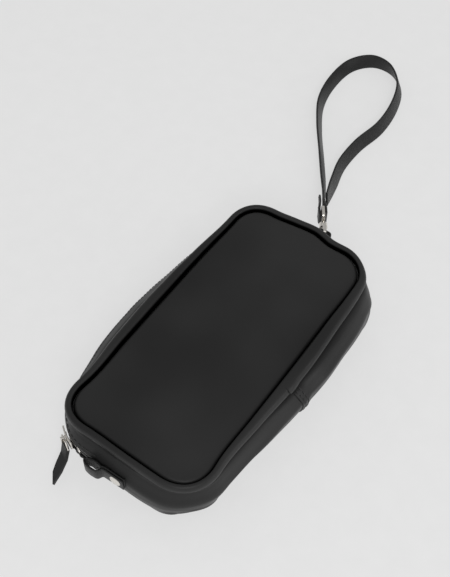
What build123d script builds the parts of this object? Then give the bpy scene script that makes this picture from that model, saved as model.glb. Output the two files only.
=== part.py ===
from build123d import *
import math
import os

# A small leather wash bag lying on its base panel, with a zipped mouth round one long side.
# The frame's origin is the centre of the resting face. Z is up and Y runs along the bag.
# All sizes are in millimetres.

# Seam loops: the rounded rectangles where the top and base panels meet the gusset
SEAM_X = 53.5
SEAM_Y = 111.0
SEAM_R = 23.0
SEAM_TOP_Z = 49.7
SEAM_BASE_Z = 4.9
LEATHER = 1.6
SEAM_GAP = 0.05
ALLOWANCE = 6.7

# Gusset section: a rolled rim beside each seam and a shallow bulge between them
RIM_R = 4.3
MID_Z = (SEAM_TOP_Z + SEAM_BASE_Z) / 2
BULGE = 11.6
BULGE_R = 54.5
BULGE_U = BULGE - BULGE_R
LAP_Y = -9.0

# The mouth flap hinges along the line where the closed zip ends
HINGE_X = -18.0
BODY_GAP = 0.3

# Zip: two tapes on the inside of the leather, rows of teeth, stops and a slider
ZIP_Z = MID_Z
SLOT = 5.5
TAPE = 0.6
TAPE_TOP = 14.2
TOOTH_NEAR = 0.65
TOOTH_FAR = 2.4
TOOTH_THICK = 2.2
TOOTH_LONG = 1.3
TOOTH_PITCH = 2.5
TAPE_GRIP = 1.05
CHAIN_U = BULGE - LEATHER - TAPE / 2
CHAIN_R = SEAM_R + CHAIN_U
SLIDER_ANGLE = 62.0
SLIDER_LONG = 14.0
SLIDER_WIDE = 9.2
PLATE_IN = 1.25
PLATE_OUT = 2.4
POST_LONG = 2.0
TEETH_IN_SLIDER = 8.1
UPPER_TEETH_LEFT_OUT = 4
STOP_BEHIND = 4.2
POST_THICK = 0.8
RAIL = 0.9
BAIL_HALF = 3.4
BAIL_HIGH = 3.7
BAIL_BAR = 1.1
PIVOT_OUT = 1.45
LINK_LONG = 7.0
LINK_BAR = 1.1
PULLER_WIDE = 8.0
PULLER_THICK = 2.6

# Loop tabs: a strip folded into a teardrop loop and riveted to each end of the bag
TAB_OFF = 0.3
NEAR_TAB_WIDE = 11.0
NEAR_RIVET_X = 1.0
NEAR_TAIL_X = 7.5
NEAR_LOOP_X = -16.0
NEAR_LOOP_HALF = 8.2
NEAR_LOOP_DEEP = 8.2
NEAR_TAB_Z = ZIP_Z + 3.5
FAR_TAB_WIDE = 8.0
FAR_RIVET_X = 17.0
FAR_TAIL_X = 23.0
FAR_LOOP_X = 1.5
FAR_LOOP_HALF = 8.6
FAR_LOOP_DEEP = 12.1
FAR_TAB_Z = ZIP_Z
RIVET_CAP_R = 4.4
RIVET_CAP_H = 1.5
RIVET_SHANK_R = 1.5

# Swivel snap hook: it is laid out along a line that leaves the far loop at an angle
HOOK_X = 2.2
HOOK_Y = 130.6
HOOK_Z = 25.6
HOOK_ANGLE = 125.0
HOOK_BAR = 2.4
HOOK_LONG = 10.0
HOOK_HIGH = 16.8
LUG_START = 8.0
GATE_PIN_S = 9.0
GATE_PIN_R = 0.4
GATE_START = 1.7
GATE_SHOULDER = 6.9
GATE_HIGH = 2.1
TONGUE = 1.1
BARREL_R = 3.2
BARREL_END = 14.0
STEM_R = 1.3
STEM_HEAD_R = 2.1
EYE_START = 15.0
EYE_BAR = 2.2
EYE_HOLE = 7.2
EYE_HOLE_HIGH = 13.6

# Wrist strap: one band folded through the eye, with its ends stitched to its neck
STRAP_WIDE = 12.7
STRAP_THICK = 1.8
STRAP_FOLD_R = 2.6
STRAP_LEAN = Vector(-0.46, 0.045, 0.89)
LEAN_FROM_Y = 156.0
LEAN_TO_Y = 205.0
FOLD_LONG = 64.0
FOLD_STEP = 1.0
LOOP_STEP = 5.0
NECK_END = (-23.5, 166.3, 18.3)
NECK_LEFT = (-19.3, 159.2, 21.5)
LOOP_ROUTE = [
    (-17.0, 162.0, 21.0),
    (-23.3, 172.0, 16.2),
    (-30.0, 184.0, 10.8),
    (-40.5, 200.5, 7.2),
    (-56.0, 223.0, 6.3),
    (-75.2, 250.5, 6.3),
    (-89.7, 276.9, 6.3),
    (-95.6, 305.6, 6.3),
    (-93.4, 333.8, 6.3),
    (-79.5, 351.2, 6.3),
    (-59.7, 350.6, 6.3),
    (-42.5, 334.0, 6.3),
    (-33.5, 308.0, 6.3),
    (-31.0, 279.0, 6.3),
    (-35.5, 250.0, 6.3),
    (-35.2, 222.8, 6.6),
    (-28.8, 198.5, 9.0),
    (-20.9, 173.4, 15.8),
]

UP = Vector(0, 0, 1)
OUT_DIR = "parts"


def save(node, shape):
    export_step(shape, os.path.join(OUT_DIR, node + ".step"))


def block(low, high):
    """A box from its lowest to its highest corner."""
    size = [h - l for l, h in zip(low, high)]
    middle = [(h + l) / 2 for l, h in zip(low, high)]
    return Pos(*middle) * Box(*size)


def area(u_low, u_high, z_low, z_high):
    """A rectangle in the gusset's section, given as offset from the seam and height."""
    middle = Pos((u_low + u_high) / 2, (z_low + z_high) / 2)
    return middle * Rectangle(u_high - u_low, z_high - z_low)


def round_the_bag(section):
    """Carry a section along the four straight sides and round the four corners."""
    ring = None
    for turn in range(4):
        angle = math.radians(90 * turn)
        out = Vector(math.cos(angle), math.sin(angle), 0)
        along = out.cross(UP)
        reach = SEAM_X if turn % 2 == 0 else SEAM_Y
        half = (SEAM_Y if turn % 2 == 0 else SEAM_X) - SEAM_R
        start = out * reach - along * half
        plane = Plane(origin=start, x_dir=out, z_dir=along)
        placed = plane * section
        corner = start - out * SEAM_R
        side = extrude(placed, amount=2 * half)
        bend = revolve(placed, axis=Axis(corner, UP), revolution_arc=90)
        ring = side + bend if ring is None else ring + side + bend
    return ring


def left_of(x):
    return block((-200, -200, -10), (x, 200, 100))


def right_of(x):
    return block((x, -200, -10), (200, 200, 100))


def gusset_ring():
    """The whole gusset: rolled rims at both seams, a bulge between, and seam allowances."""
    bulge = Pos(BULGE_U, MID_Z) * Circle(BULGE_R) & area(0, 20, SEAM_BASE_Z, SEAM_TOP_Z)
    hollow = Pos(BULGE_U, MID_Z) * Circle(BULGE_R - LEATHER)
    hollow &= area(-6, 20, SEAM_BASE_Z, SEAM_TOP_Z)
    rims = Pos(RIM_R, SEAM_TOP_Z) * Circle(RIM_R) + Pos(RIM_R, SEAM_BASE_Z) * Circle(RIM_R)
    rim_hollow = Pos(RIM_R, SEAM_TOP_Z) * Circle(RIM_R - LEATHER)
    rim_hollow += Pos(RIM_R, SEAM_BASE_Z) * Circle(RIM_R - LEATHER)
    wall = bulge + rims - hollow - rim_hollow - area(-9, SEAM_GAP, 0, 60)
    edge = SEAM_GAP + LEATHER
    wall += area(SEAM_GAP, edge, SEAM_TOP_Z - ALLOWANCE, SEAM_TOP_Z + 0.3)
    wall += area(SEAM_GAP, edge, SEAM_BASE_Z - 0.3, SEAM_BASE_Z + ALLOWANCE)
    return round_the_bag(wall)


def gusset_parts(ring):
    """Cut the gusset ring into its leather pieces."""
    plain = ring & right_of(HINGE_X + BODY_GAP / 2)
    lap = block((0, -200, -10), (200, LAP_Y, 100)) + block((-200, -200, -10), (0, 0, 100))
    near = plain & lap
    far = plain - lap
    zipped = ring & left_of(HINGE_X - BODY_GAP / 2)
    upper = zipped & block((-200, -200, ZIP_Z + SLOT), (200, 200, 100))
    lower = ring & left_of(HINGE_X + BODY_GAP / 2) & block((-200, -200, -10), (200, 200, ZIP_Z - SLOT))
    return near, far, upper, lower


def seam_outline(inset):
    return RectangleRounded(2 * (SEAM_X - inset), 2 * (SEAM_Y - inset), SEAM_R - inset)


def top_panel_whole():
    plate = Pos(0, 0, SEAM_TOP_Z) * extrude(seam_outline(SEAM_GAP), amount=LEATHER)
    edge = SEAM_GAP + LEATHER
    flange = area(-edge, -SEAM_GAP, SEAM_TOP_Z - ALLOWANCE, SEAM_TOP_Z + LEATHER / 2)
    return plate + round_the_bag(flange)


def base_panel():
    """A flat tray: it rests on the ground and turns up into the base seam."""
    plate = extrude(seam_outline(SEAM_GAP), amount=LEATHER)
    edge = SEAM_GAP + LEATHER
    flange = area(-edge, -SEAM_GAP, LEATHER / 2, SEAM_BASE_Z + ALLOWANCE)
    return plate + round_the_bag(flange)


def binding(z_edge, direction):
    """A U of woven tape over the raw edges of a seam's two allowances."""
    edge = SEAM_GAP + LEATHER
    low, high = sorted((z_edge - direction * (TAPE + SEAM_GAP), z_edge + direction * 4.0))
    cut_low, cut_high = sorted((z_edge - direction * SEAM_GAP, z_edge + direction * 5.0))
    cover = area(-edge - TAPE - SEAM_GAP, edge + TAPE + SEAM_GAP, low, high)
    return round_the_bag(cover - area(-edge - SEAM_GAP, edge + SEAM_GAP, cut_low, cut_high))


def zip_tape(z_low, z_high):
    """A woven tape on the inside face of the leather."""
    outer = BULGE_R - LEATHER
    section = Pos(BULGE_U, MID_Z) * (Circle(outer) - Circle(outer - TAPE))
    section &= area(0, 20, z_low, z_high)
    return round_the_bag(section) & left_of(HINGE_X - BODY_GAP / 2)


def chain_frame(angle):
    """The plane across the chain on the near corner, from the side (0) to the end (90)."""
    a = math.radians(angle)
    out = Vector(-math.cos(a), -math.sin(a), 0)
    corner = Vector(SEAM_R - SEAM_X, SEAM_R - SEAM_Y, ZIP_Z)
    return corner, out


def chain_places():
    """Every tooth's centre and outward direction, from the slider's stop round to the far end."""
    first = math.radians(SLIDER_ANGLE) + (TEETH_IN_SLIDER - SLIDER_LONG / 2) / CHAIN_R
    straight = 2 * (SEAM_Y - SEAM_R)
    quarter = CHAIN_R * math.pi / 2
    tail = SEAM_R - SEAM_X
    length = first * CHAIN_R + straight + quarter + (HINGE_X - 2.6) - tail
    places = []
    for index in range(int(length / TOOTH_PITCH)):
        s = index * TOOTH_PITCH
        if s < first * CHAIN_R:
            a = first - s / CHAIN_R
            out = Vector(-math.cos(a), -math.sin(a), 0)
            centre = Vector(SEAM_R - SEAM_X, SEAM_R - SEAM_Y, ZIP_Z) + out * CHAIN_R
        elif s < first * CHAIN_R + straight:
            out = Vector(-1, 0, 0)
            y = SEAM_R - SEAM_Y + s - first * CHAIN_R
            centre = Vector(-SEAM_X - CHAIN_U, y, ZIP_Z)
        elif s < first * CHAIN_R + straight + quarter:
            a = (s - first * CHAIN_R - straight) / CHAIN_R
            out = Vector(-math.cos(a), math.sin(a), 0)
            centre = Vector(SEAM_R - SEAM_X, SEAM_Y - SEAM_R, ZIP_Z) + out * CHAIN_R
        else:
            out = Vector(0, 1, 0)
            x = tail + s - first * CHAIN_R - straight - quarter
            centre = Vector(x, SEAM_Y + CHAIN_U, ZIP_Z)
        places.append((centre, out))
    return places


def teeth(side):
    """One row of teeth, above (1) or below (-1) the middle of the chain.

    The upper row leaves out the teeth inside the slider, so that the flap can lift past it.
    """
    height = TOOTH_FAR - TOOTH_NEAR
    slot = Pos(0, 0, height / 2) * Box(TAPE + 0.14, 2 * TOOTH_LONG, 2 * TAPE_GRIP + 0.1)
    tooth = Box(TOOTH_THICK, TOOTH_LONG, height) - slot
    row = []
    places = chain_places()
    if side > 0:
        places = places[UPPER_TEETH_LEFT_OUT:]
    for centre, out in places:
        middle = centre + UP * (side * (TOOTH_NEAR + TOOTH_FAR) / 2)
        row.append(Plane(origin=middle, x_dir=out, z_dir=UP * side) * tooth)
    return Compound(children=row)


def corner_sector(r_low, r_high, z_low, z_high, angle_low, angle_high):
    """A curved block that follows the chain round the near corner."""
    corner, _ = chain_frame(0)
    flat = Pos((r_low + r_high) / 2, (z_low + z_high) / 2) * Rectangle(r_high - r_low, z_high - z_low)
    _, out = chain_frame(angle_low)
    along = out.cross(UP)
    plane = Plane(origin=(corner.X, corner.Y, 0), x_dir=out, z_dir=along)
    axis = Axis((corner.X, corner.Y, 0), (0, 0, 1))
    return revolve(plane * flat, axis=axis, revolution_arc=angle_high - angle_low)


def top_stop(side):
    start = SLIDER_ANGLE + math.degrees((SLIDER_LONG / 2 + STOP_BEHIND) / CHAIN_R)
    end = start + math.degrees(2.2 / CHAIN_R)
    z_low, z_high = sorted((ZIP_Z + side * TOOTH_NEAR, ZIP_Z + side * TOOTH_FAR))
    half = TOOTH_THICK / 2
    return corner_sector(CHAIN_R - half, CHAIN_R + half, z_low, z_high, start, end)


def stop_grip(side):
    """The tape's edge is cut away where the stops are crimped on."""
    shape = top_stop(side)
    return shape + bottom_stop() if side < 0 else shape


def bottom_stop():
    y = SEAM_Y + CHAIN_U
    low = (HINGE_X - 1.9, y - TOOTH_THICK / 2, ZIP_Z - TOOTH_FAR)
    return block(low, (HINGE_X - BODY_GAP, y + TOOTH_THICK / 2, ZIP_Z - TOOTH_NEAR))


def slider():
    """Two curved plates round the chain, a dividing post, and rails beside the lower tape."""
    half = math.degrees(SLIDER_LONG / 2 / CHAIN_R)
    start, end = SLIDER_ANGLE - half, SLIDER_ANGLE + half
    z_low, z_high = ZIP_Z - SLIDER_WIDE / 2, ZIP_Z + SLIDER_WIDE / 2
    body = corner_sector(CHAIN_R + PLATE_IN, CHAIN_R + PLATE_OUT, z_low, z_high, start, end)
    body += corner_sector(CHAIN_R - PLATE_OUT, CHAIN_R - PLATE_IN, z_low, z_high, start, end)
    post = math.degrees(POST_LONG / CHAIN_R)
    half_post = POST_THICK / 2
    body += corner_sector(CHAIN_R - PLATE_IN, CHAIN_R + PLATE_IN,
                          ZIP_Z - half_post, ZIP_Z + half_post, end - post, end)
    body += corner_sector(CHAIN_R + TAPE, CHAIN_R + PLATE_IN, z_low, z_low + RAIL, start, end)
    body += corner_sector(CHAIN_R - PLATE_IN, CHAIN_R - TAPE, z_low, z_low + RAIL, start, end)
    return body


def slider_plane():
    """On the slider's outer face: x along the chain, y up, z straight out of the bag."""
    corner, out = chain_frame(SLIDER_ANGLE)
    origin = corner + out * (CHAIN_R + PLATE_OUT)
    return Plane(origin=origin, x_dir=UP.cross(out), z_dir=out)


def slider_bail():
    outer = block((-0.8, -BAIL_HALF, 0.02), (0.8, BAIL_HALF, BAIL_HIGH))
    hole = block((-2, -BAIL_HALF + 1.2, -1), (2, BAIL_HALF - 1.2, BAIL_HIGH - BAIL_BAR))
    arch = outer - hole
    top = arch.edges().filter_by(Axis.X).group_by(Axis.Z)[-1]
    return slider_plane() * fillet(top, 0.5)


def puller_link():
    """A flat trapezoid ring: its top bar turns in the bail and the strap hangs on its foot."""
    half = LINK_BAR / 2
    outer = Polygon((-3.8, half), (3.8, half), (5.5, -LINK_LONG - half), (-5.5, -LINK_LONG - half),
                    align=None)
    hole = Polygon((-2.7, -half), (2.7, -half), (4.2, -LINK_LONG + half), (-4.2, -LINK_LONG + half),
                   align=None)
    ring = extrude(outer - hole, amount=half, both=True)
    return slider_plane() * Pos(0, 0, PIVOT_OUT) * ring


def rectangle_wire(centre, wide, thick):
    """A four-cornered outline from its centre and its two full edge vectors."""
    w, t = wide * 0.5, thick * 0.5
    return Wire.make_polygon([centre - w - t, centre + w - t, centre + w + t, centre - w + t], close=True)


def leather_puller():
    """A folded strip that hangs from the link, bends and comes to rest on the ground."""
    plane = slider_plane()
    route = [(0, -LINK_LONG + 2.0, 0.0), (0.2, -10.5, 0.1), (3.2, -15.6, 3.0), (8.4, -18.6, 9.4),
             (13.0, -20.6, 15.4)]
    slopes = [(0, 0.1, 1), (0, 0.2, 1), (0, 0.75, 0.66), (0, 0.85, 0.5), (0, 0.9, 0.42)]
    skews = [(0, 0), (0, 0), (0, 0), (0, 0), (-1.6, 3.4)]
    outlines = []
    for (x, y, z), slope, (skew_y, skew_z) in zip(route, slopes, skews):
        centre = plane.from_local_coords(Vector(x, y, z + PIVOT_OUT))
        wide = plane.from_local_coords(Vector(PULLER_WIDE, skew_y, skew_z)) - plane.origin
        thick = (plane.from_local_coords(Vector(slope)) - plane.origin).normalized() * PULLER_THICK
        outlines.append(rectangle_wire(centre, wide, thick))
    strip = Solid.make_loft(outlines, ruled=True)
    clear = LINK_BAR / 2 + 0.15
    foot = block((-6, -LINK_LONG - clear, PIVOT_OUT - clear), (6, -LINK_LONG + clear, PIVOT_OUT + clear))
    side = block((3.0, -LINK_LONG, PIVOT_OUT - clear), (6, 0, PIVOT_OUT + clear))
    return strip - plane * foot - plane * side - plane * side.mirror(Plane.YZ)


def loop_tab(end, wide, height, rivet_x, tail_x, loop_x, loop_half, loop_deep):
    """A strip folded back on itself: a teardrop loop, then two layers under a rivet."""
    y_wall = SEAM_Y + BULGE + TAB_OFF
    y_mid = y_wall + loop_deep / 2
    outer = Pos(loop_x, y_mid) * Ellipse(loop_half, loop_deep / 2)
    inner = Pos(loop_x, y_mid) * Ellipse(loop_half - LEATHER, loop_deep / 2 - LEATHER)
    legs_start = loop_x + loop_half * 0.55
    legs = Pos((legs_start + tail_x) / 2, y_wall + LEATHER) * Rectangle(tail_x - legs_start, 2 * LEATHER)
    shape = Pos(0, 0, height - wide / 2) * extrude(outer + legs - inner, amount=wide)
    hole = Pos(rivet_x, y_wall, height) * Rot(90, 0, 0) * Cylinder(RIVET_SHANK_R + 0.02, 30)
    shape = shape - hole
    return shape if end > 0 else shape.mirror(Plane.XZ)


def rivet(end, x, height):
    """A two-part tubular rivet through the tab and the gusset."""
    y_out = SEAM_Y + BULGE + TAB_OFF + 2 * LEATHER
    y_in = SEAM_Y + BULGE - LEATHER
    dome_r = (RIVET_CAP_R ** 2 + RIVET_CAP_H ** 2) / (2 * RIVET_CAP_H)
    front = Pos(0, 0, RIVET_CAP_H - dome_r) * Sphere(dome_r) & block((-9, -9, 0.02), (9, 9, 9))
    back = Pos(0, 0, -0.4) * Cylinder(RIVET_CAP_R, 0.8)
    shank_long = y_out - y_in + 0.9
    shank = Pos(0, 0, 0.3 - shank_long / 2) * Cylinder(RIVET_SHANK_R, shank_long)
    shape = front + shank + Pos(0, 0, y_in - y_out - 0.35) * back
    shape = Pos(x, y_out, height) * Rot(-90, 0, 0) * shape
    return shape if end > 0 else shape.mirror(Plane.XZ)


def rivet_hole(end, x, height):
    y = end * (SEAM_Y + BULGE)
    return Pos(x, y, height) * Rot(90, 0, 0) * Cylinder(RIVET_SHANK_R + 0.02, 12)


def hook_plane():
    """The snap hook's plane: x along the hook towards the strap, y up, z to its side."""
    a = math.radians(HOOK_ANGLE)
    along = Vector(math.cos(a), math.sin(a), 0)
    return Plane(origin=(HOOK_X, HOOK_Y, HOOK_Z), x_dir=along, z_dir=along.cross(UP))


def hook_point(s, side, height):
    """A point by its distance along the hook, to its left, and above its middle."""
    return hook_plane().from_local_coords(Vector(s, height, -side))


def bar_along(s_low, s_high, radius):
    return Pos((s_low + s_high) / 2, 0, 0) * Rot(0, 90, 0) * Cylinder(radius, s_high - s_low)


def hook_body():
    """A rounded hook open below, two ears for the gate, and a barrel for the swivel."""
    half = HOOK_HIGH / 2
    bar = HOOK_BAR
    start = -bar / 2
    long = HOOK_LONG - start
    frame = Pos(start + long / 2, 0) * RectangleRounded(long, HOOK_HIGH, 3.0)
    throat_long = LUG_START - bar / 2
    throat = Pos(bar / 2 + throat_long / 2, 0) * RectangleRounded(throat_long, HOOK_HIGH - 2 * bar, 1.2)
    mouth_low, mouth_high = bar / 2 + 0.3, LUG_START
    mouth = Pos((mouth_low + mouth_high) / 2, -half + bar / 2) * Rectangle(mouth_high - mouth_low, bar + 3)
    body = extrude(frame - throat - mouth, amount=bar / 2, both=True)
    slot = block((LUG_START - 1, -half - 1, -TONGUE / 2 - 0.1), (HOOK_LONG + 1, -half + bar + 0.8, TONGUE / 2 + 0.1))
    pin_hole = Pos(GATE_PIN_S, -half + bar / 2, 0) * Cylinder(GATE_PIN_R + 0.02, 2 * bar)
    barrel = bar_along(HOOK_LONG - 0.2, BARREL_END, BARREL_R)
    pocket = bar_along(HOOK_LONG + 0.4, BARREL_END - 1.4, STEM_HEAD_R + 0.2)
    bore = bar_along(HOOK_LONG + 0.4, BARREL_END + 1, STEM_R + 0.08)
    return hook_plane() * (body - slot - pin_hole + barrel - pocket - bore)


def hook_gate():
    """The sprung gate that closes the hook from below."""
    y = -HOOK_HIGH / 2 + HOOK_BAR / 2
    half = GATE_HIGH / 2
    bar = block((GATE_START, y - half, -HOOK_BAR / 2), (GATE_SHOULDER, y + half, HOOK_BAR / 2))
    tongue = block((GATE_SHOULDER - 0.5, y - half, -TONGUE / 2), (GATE_PIN_S, y + half, TONGUE / 2))
    tongue += Pos(GATE_PIN_S, y, 0) * Cylinder(half, TONGUE)
    hole = Pos(GATE_PIN_S, y, 0) * Cylinder(GATE_PIN_R + 0.05, 4)
    return hook_plane() * (bar + tongue - hole)


def gate_pin():
    y = -HOOK_HIGH / 2 + HOOK_BAR / 2
    return hook_plane() * Pos(GATE_PIN_S, y, 0) * Cylinder(GATE_PIN_R, HOOK_BAR)


def swivel_eye():
    """A tall slot for the strap on a stem that is headed inside the hook's barrel."""
    long = EYE_HOLE + 2 * EYE_BAR
    high = EYE_HOLE_HIGH + 2 * EYE_BAR
    outer = Pos(EYE_START + long / 2, 0) * RectangleRounded(long, high, 3.0)
    hole = Pos(EYE_START + long / 2, 0) * RectangleRounded(EYE_HOLE, EYE_HOLE_HIGH, 0.5)
    ring = extrude(outer - hole, amount=EYE_BAR / 2, both=True)
    stem = bar_along(BARREL_END - 2.0, EYE_START + 0.5, STEM_R)
    head = bar_along(HOOK_LONG + 0.6, BARREL_END - 1.6, STEM_HEAD_R)
    return hook_plane() * (ring + stem + head)


def strap_route():
    """Points along the band's middle, from one cut end, through the eye, to the other."""
    bar_s = EYE_START + EYE_BAR * 1.5 + EYE_HOLE
    fold_s = EYE_START + EYE_BAR + 1.2 + STRAP_FOLD_R
    side = STRAP_FOLD_R
    fold = [
        hook_point(bar_s + 1.5, side, 0),
        hook_point((bar_s + fold_s) / 2, side, 0),
        hook_point(fold_s, side, 0),
        hook_point(fold_s - side * 0.71, side * 0.71, 0),
        hook_point(fold_s - side, 0, 0),
        hook_point(fold_s - side * 0.71, -side * 0.71, 0),
        hook_point(fold_s, -side, 0),
        hook_point((bar_s + fold_s) / 2, -side, 0),
        hook_point(bar_s + 1.5, -side, 0),
    ]
    ends = [Vector(NECK_END), Vector(NECK_LEFT)]
    return ends + fold + [Vector(p) for p in LOOP_ROUTE]


def lean_at(y):
    """The band stands upright in the eye and leans over where it lies on the ground."""
    blend = min(1.0, max(0.0, (y - LEAN_FROM_Y) / (LEAN_TO_Y - LEAN_FROM_Y)))
    return UP + (STRAP_LEAN - UP) * blend


def band_axes(point, tangent):
    """The band's level run, its width direction and its thickness direction at a point."""
    flat = Vector(tangent.X, tangent.Y, 0).normalized()
    lean = lean_at(point.Y)
    wide = (lean - flat * lean.dot(flat)).normalized()
    return flat, wide, wide.cross(flat)


def band_at(path, distance):
    """The band's centre, run, width and thickness directions at a distance from its cut end."""
    point = path.position_at(distance, PositionMode.LENGTH)
    tangent = path.tangent_at(distance, PositionMode.LENGTH)
    return point, *band_axes(point, tangent)


def wrist_strap(path):
    """Short steps round the tight fold in the eye, longer ones round the hand loop."""
    steps = [index * FOLD_STEP for index in range(int(FOLD_LONG / FOLD_STEP))]
    count = round((path.length - FOLD_LONG) / LOOP_STEP)
    steps += [FOLD_LONG + index * (path.length - FOLD_LONG) / count for index in range(count + 1)]
    outlines = []
    for distance in steps:
        point, _, wide, thick = band_at(path, distance)
        outlines.append(rectangle_wire(point, wide * STRAP_WIDE, thick * STRAP_THICK))
    print("wrist strap band length", round(path.length, 1))
    return Solid.make_loft(outlines, ruled=True)


def strap_stitches(path):
    """Thread along the cut end that is sewn to the neck."""
    rows = []
    for row in (-1, 1):
        for index in range(3):
            point, run, wide, thick = band_at(path, 2.0 + 2.6 * index)
            spot = point + wide * (row * 4.6) - thick * (STRAP_THICK / 2 + 0.3)
            rows.append(Plane(origin=spot, x_dir=run, z_dir=thick) * Box(1.8, 0.5, 0.4))
    return Compound(children=rows)


def gusset_lap_stitches():
    """Two rows of thread down the lap where the gusset's two leather pieces join."""
    rows = []
    for row in (-1, 1):
        for index in range(8):
            z = ZIP_Z - 14 + 4 * index
            u = BULGE_U + math.sqrt(BULGE_R ** 2 - (z - MID_Z) ** 2) + 0.25
            slope = math.degrees(math.asin((z - MID_Z) / BULGE_R))
            place = Pos(SEAM_X + u, LAP_Y + row * 1.6, z) * Rot(0, -slope, 0)
            rows.append(place * Box(0.4, 0.5, 2.4))
    return Compound(children=rows)


def main():
    os.makedirs(OUT_DIR, exist_ok=True)
    near, far, upper, lower = gusset_parts(gusset_ring())
    save("gusset_near", near - rivet_hole(-1, NEAR_RIVET_X, NEAR_TAB_Z))
    save("gusset_far", far - rivet_hole(1, FAR_RIVET_X, FAR_TAB_Z))
    save("zip_strip_upper", upper)
    save("zip_strip_lower", lower)
    save("gusset_lap_stitches", gusset_lap_stitches())

    fixed = right_of(HINGE_X + BODY_GAP / 2)
    moving = left_of(HINGE_X - BODY_GAP / 2)
    top = top_panel_whole()
    save("top_panel", top & fixed)
    save("top_panel_flap", top & moving)
    save("bottom_panel", base_panel())
    top_binding = binding(SEAM_TOP_Z - ALLOWANCE, 1)
    save("seam_binding_top", top_binding & fixed)
    save("seam_binding_flap", top_binding & moving)
    save("seam_binding_base", binding(SEAM_BASE_Z + ALLOWANCE, -1))

    edge = TOOTH_FAR - TAPE_GRIP
    save("zipper_tape_upper", zip_tape(ZIP_Z + edge, ZIP_Z + TAPE_TOP) - stop_grip(1))
    save("zipper_tape_lower", zip_tape(ZIP_Z - TAPE_TOP, ZIP_Z - edge) - stop_grip(-1))
    save("zipper_teeth_upper", teeth(1))
    save("zipper_teeth_lower", teeth(-1))
    save("zipper_top_stop_upper", top_stop(1))
    save("zipper_top_stop_lower", top_stop(-1))
    save("zipper_bottom_stop", bottom_stop())
    save("slider_body", slider())
    save("slider_bail", slider_bail())
    save("puller_link", puller_link())
    save("leather_puller", leather_puller())

    save("near_loop_tab", loop_tab(-1, NEAR_TAB_WIDE, NEAR_TAB_Z, NEAR_RIVET_X, NEAR_TAIL_X,
                                   NEAR_LOOP_X, NEAR_LOOP_HALF, NEAR_LOOP_DEEP))
    save("near_rivet", rivet(-1, NEAR_RIVET_X, NEAR_TAB_Z))
    save("far_loop_tab", loop_tab(1, FAR_TAB_WIDE, FAR_TAB_Z, FAR_RIVET_X, FAR_TAIL_X,
                                  FAR_LOOP_X, FAR_LOOP_HALF, FAR_LOOP_DEEP))
    save("far_rivet", rivet(1, FAR_RIVET_X, FAR_TAB_Z))

    save("hook_body", hook_body())
    save("gate_pin", gate_pin())
    save("hook_gate", hook_gate())
    save("swivel_eye", swivel_eye())
    path = Spline(*strap_route())
    save("wrist_strap", wrist_strap(path))
    save("strap_stitches", strap_stitches(path))


main()
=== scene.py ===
import math

import bmesh
import bpy
import numpy as np
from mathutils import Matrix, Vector, noise


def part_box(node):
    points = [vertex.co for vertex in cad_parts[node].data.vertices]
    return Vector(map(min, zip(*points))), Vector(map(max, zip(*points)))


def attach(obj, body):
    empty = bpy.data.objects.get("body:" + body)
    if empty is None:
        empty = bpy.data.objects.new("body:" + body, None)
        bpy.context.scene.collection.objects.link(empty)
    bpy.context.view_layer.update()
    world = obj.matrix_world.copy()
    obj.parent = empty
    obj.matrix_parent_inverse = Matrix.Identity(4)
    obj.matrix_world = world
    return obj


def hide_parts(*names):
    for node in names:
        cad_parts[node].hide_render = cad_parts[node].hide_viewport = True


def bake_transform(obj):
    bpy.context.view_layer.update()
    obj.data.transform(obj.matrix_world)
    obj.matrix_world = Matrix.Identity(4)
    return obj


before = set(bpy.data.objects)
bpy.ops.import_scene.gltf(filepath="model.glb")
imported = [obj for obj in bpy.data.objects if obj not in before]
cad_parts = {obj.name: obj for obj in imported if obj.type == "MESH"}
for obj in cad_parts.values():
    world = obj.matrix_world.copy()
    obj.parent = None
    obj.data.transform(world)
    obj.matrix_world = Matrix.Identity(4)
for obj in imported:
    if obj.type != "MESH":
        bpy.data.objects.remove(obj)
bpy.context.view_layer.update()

MM = 0.001

# ---------------------------------------------------------------- sizes from the frame, in mm
_, PANEL_HIGH = (np.array(c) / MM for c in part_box("top_panel"))
TOOTH_LOW, _ = (np.array(c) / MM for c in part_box("zipper_teeth_upper"))
_, TAPE_HIGH = (np.array(c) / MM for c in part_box("zipper_tape_upper"))
NEAR_TAB_LOW, NEAR_TAB_HIGH = (np.array(c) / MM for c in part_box("near_loop_tab"))
FAR_TAB_LOW, FAR_TAB_HIGH = (np.array(c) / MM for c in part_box("far_loop_tab"))

SEAM_GAP = 0.05
SEAM_X = PANEL_HIGH[0] + SEAM_GAP
SEAM_Y = PANEL_HIGH[1] + SEAM_GAP
SEAM_R = 23.0
INNER_X = SEAM_X - SEAM_R
INNER_Y = SEAM_Y - SEAM_R

# Leather: the CAD's thickness, and what the finished sheets keep of it
LEATHER = 1.6
SHEET = LEATHER - 0.2
BASE_SHEET = LEATHER - 0.3
# The width of the painted shade along a panel's edge where it rolls into its seam, and how far the wall
# stands outside its drawn section
GROOVE_SHADE_WIDE = 2.1
WALL_OUT = 0.9
# Heights of the wall's widest part, of the rim's middle, and where the wall starts to lean in
BELLY_Z = 27.0
BELLY_HALF = 19.5
RIM_Z = 49.0
LEAN_Z = 31.0

# The mouth's flap hinge line, where the zip strips start and end round the loop
HINGE_X = -18.0

# The lap seam on the right side
LAP_Y = -9.0
LAP_WIDE = 9.0
LAP_LIFT = 0.9
LAP_SINK = 0.5

# Zip
TOOTH_NEAR = 0.65
TOOTH_PITCH = 2.5
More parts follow.
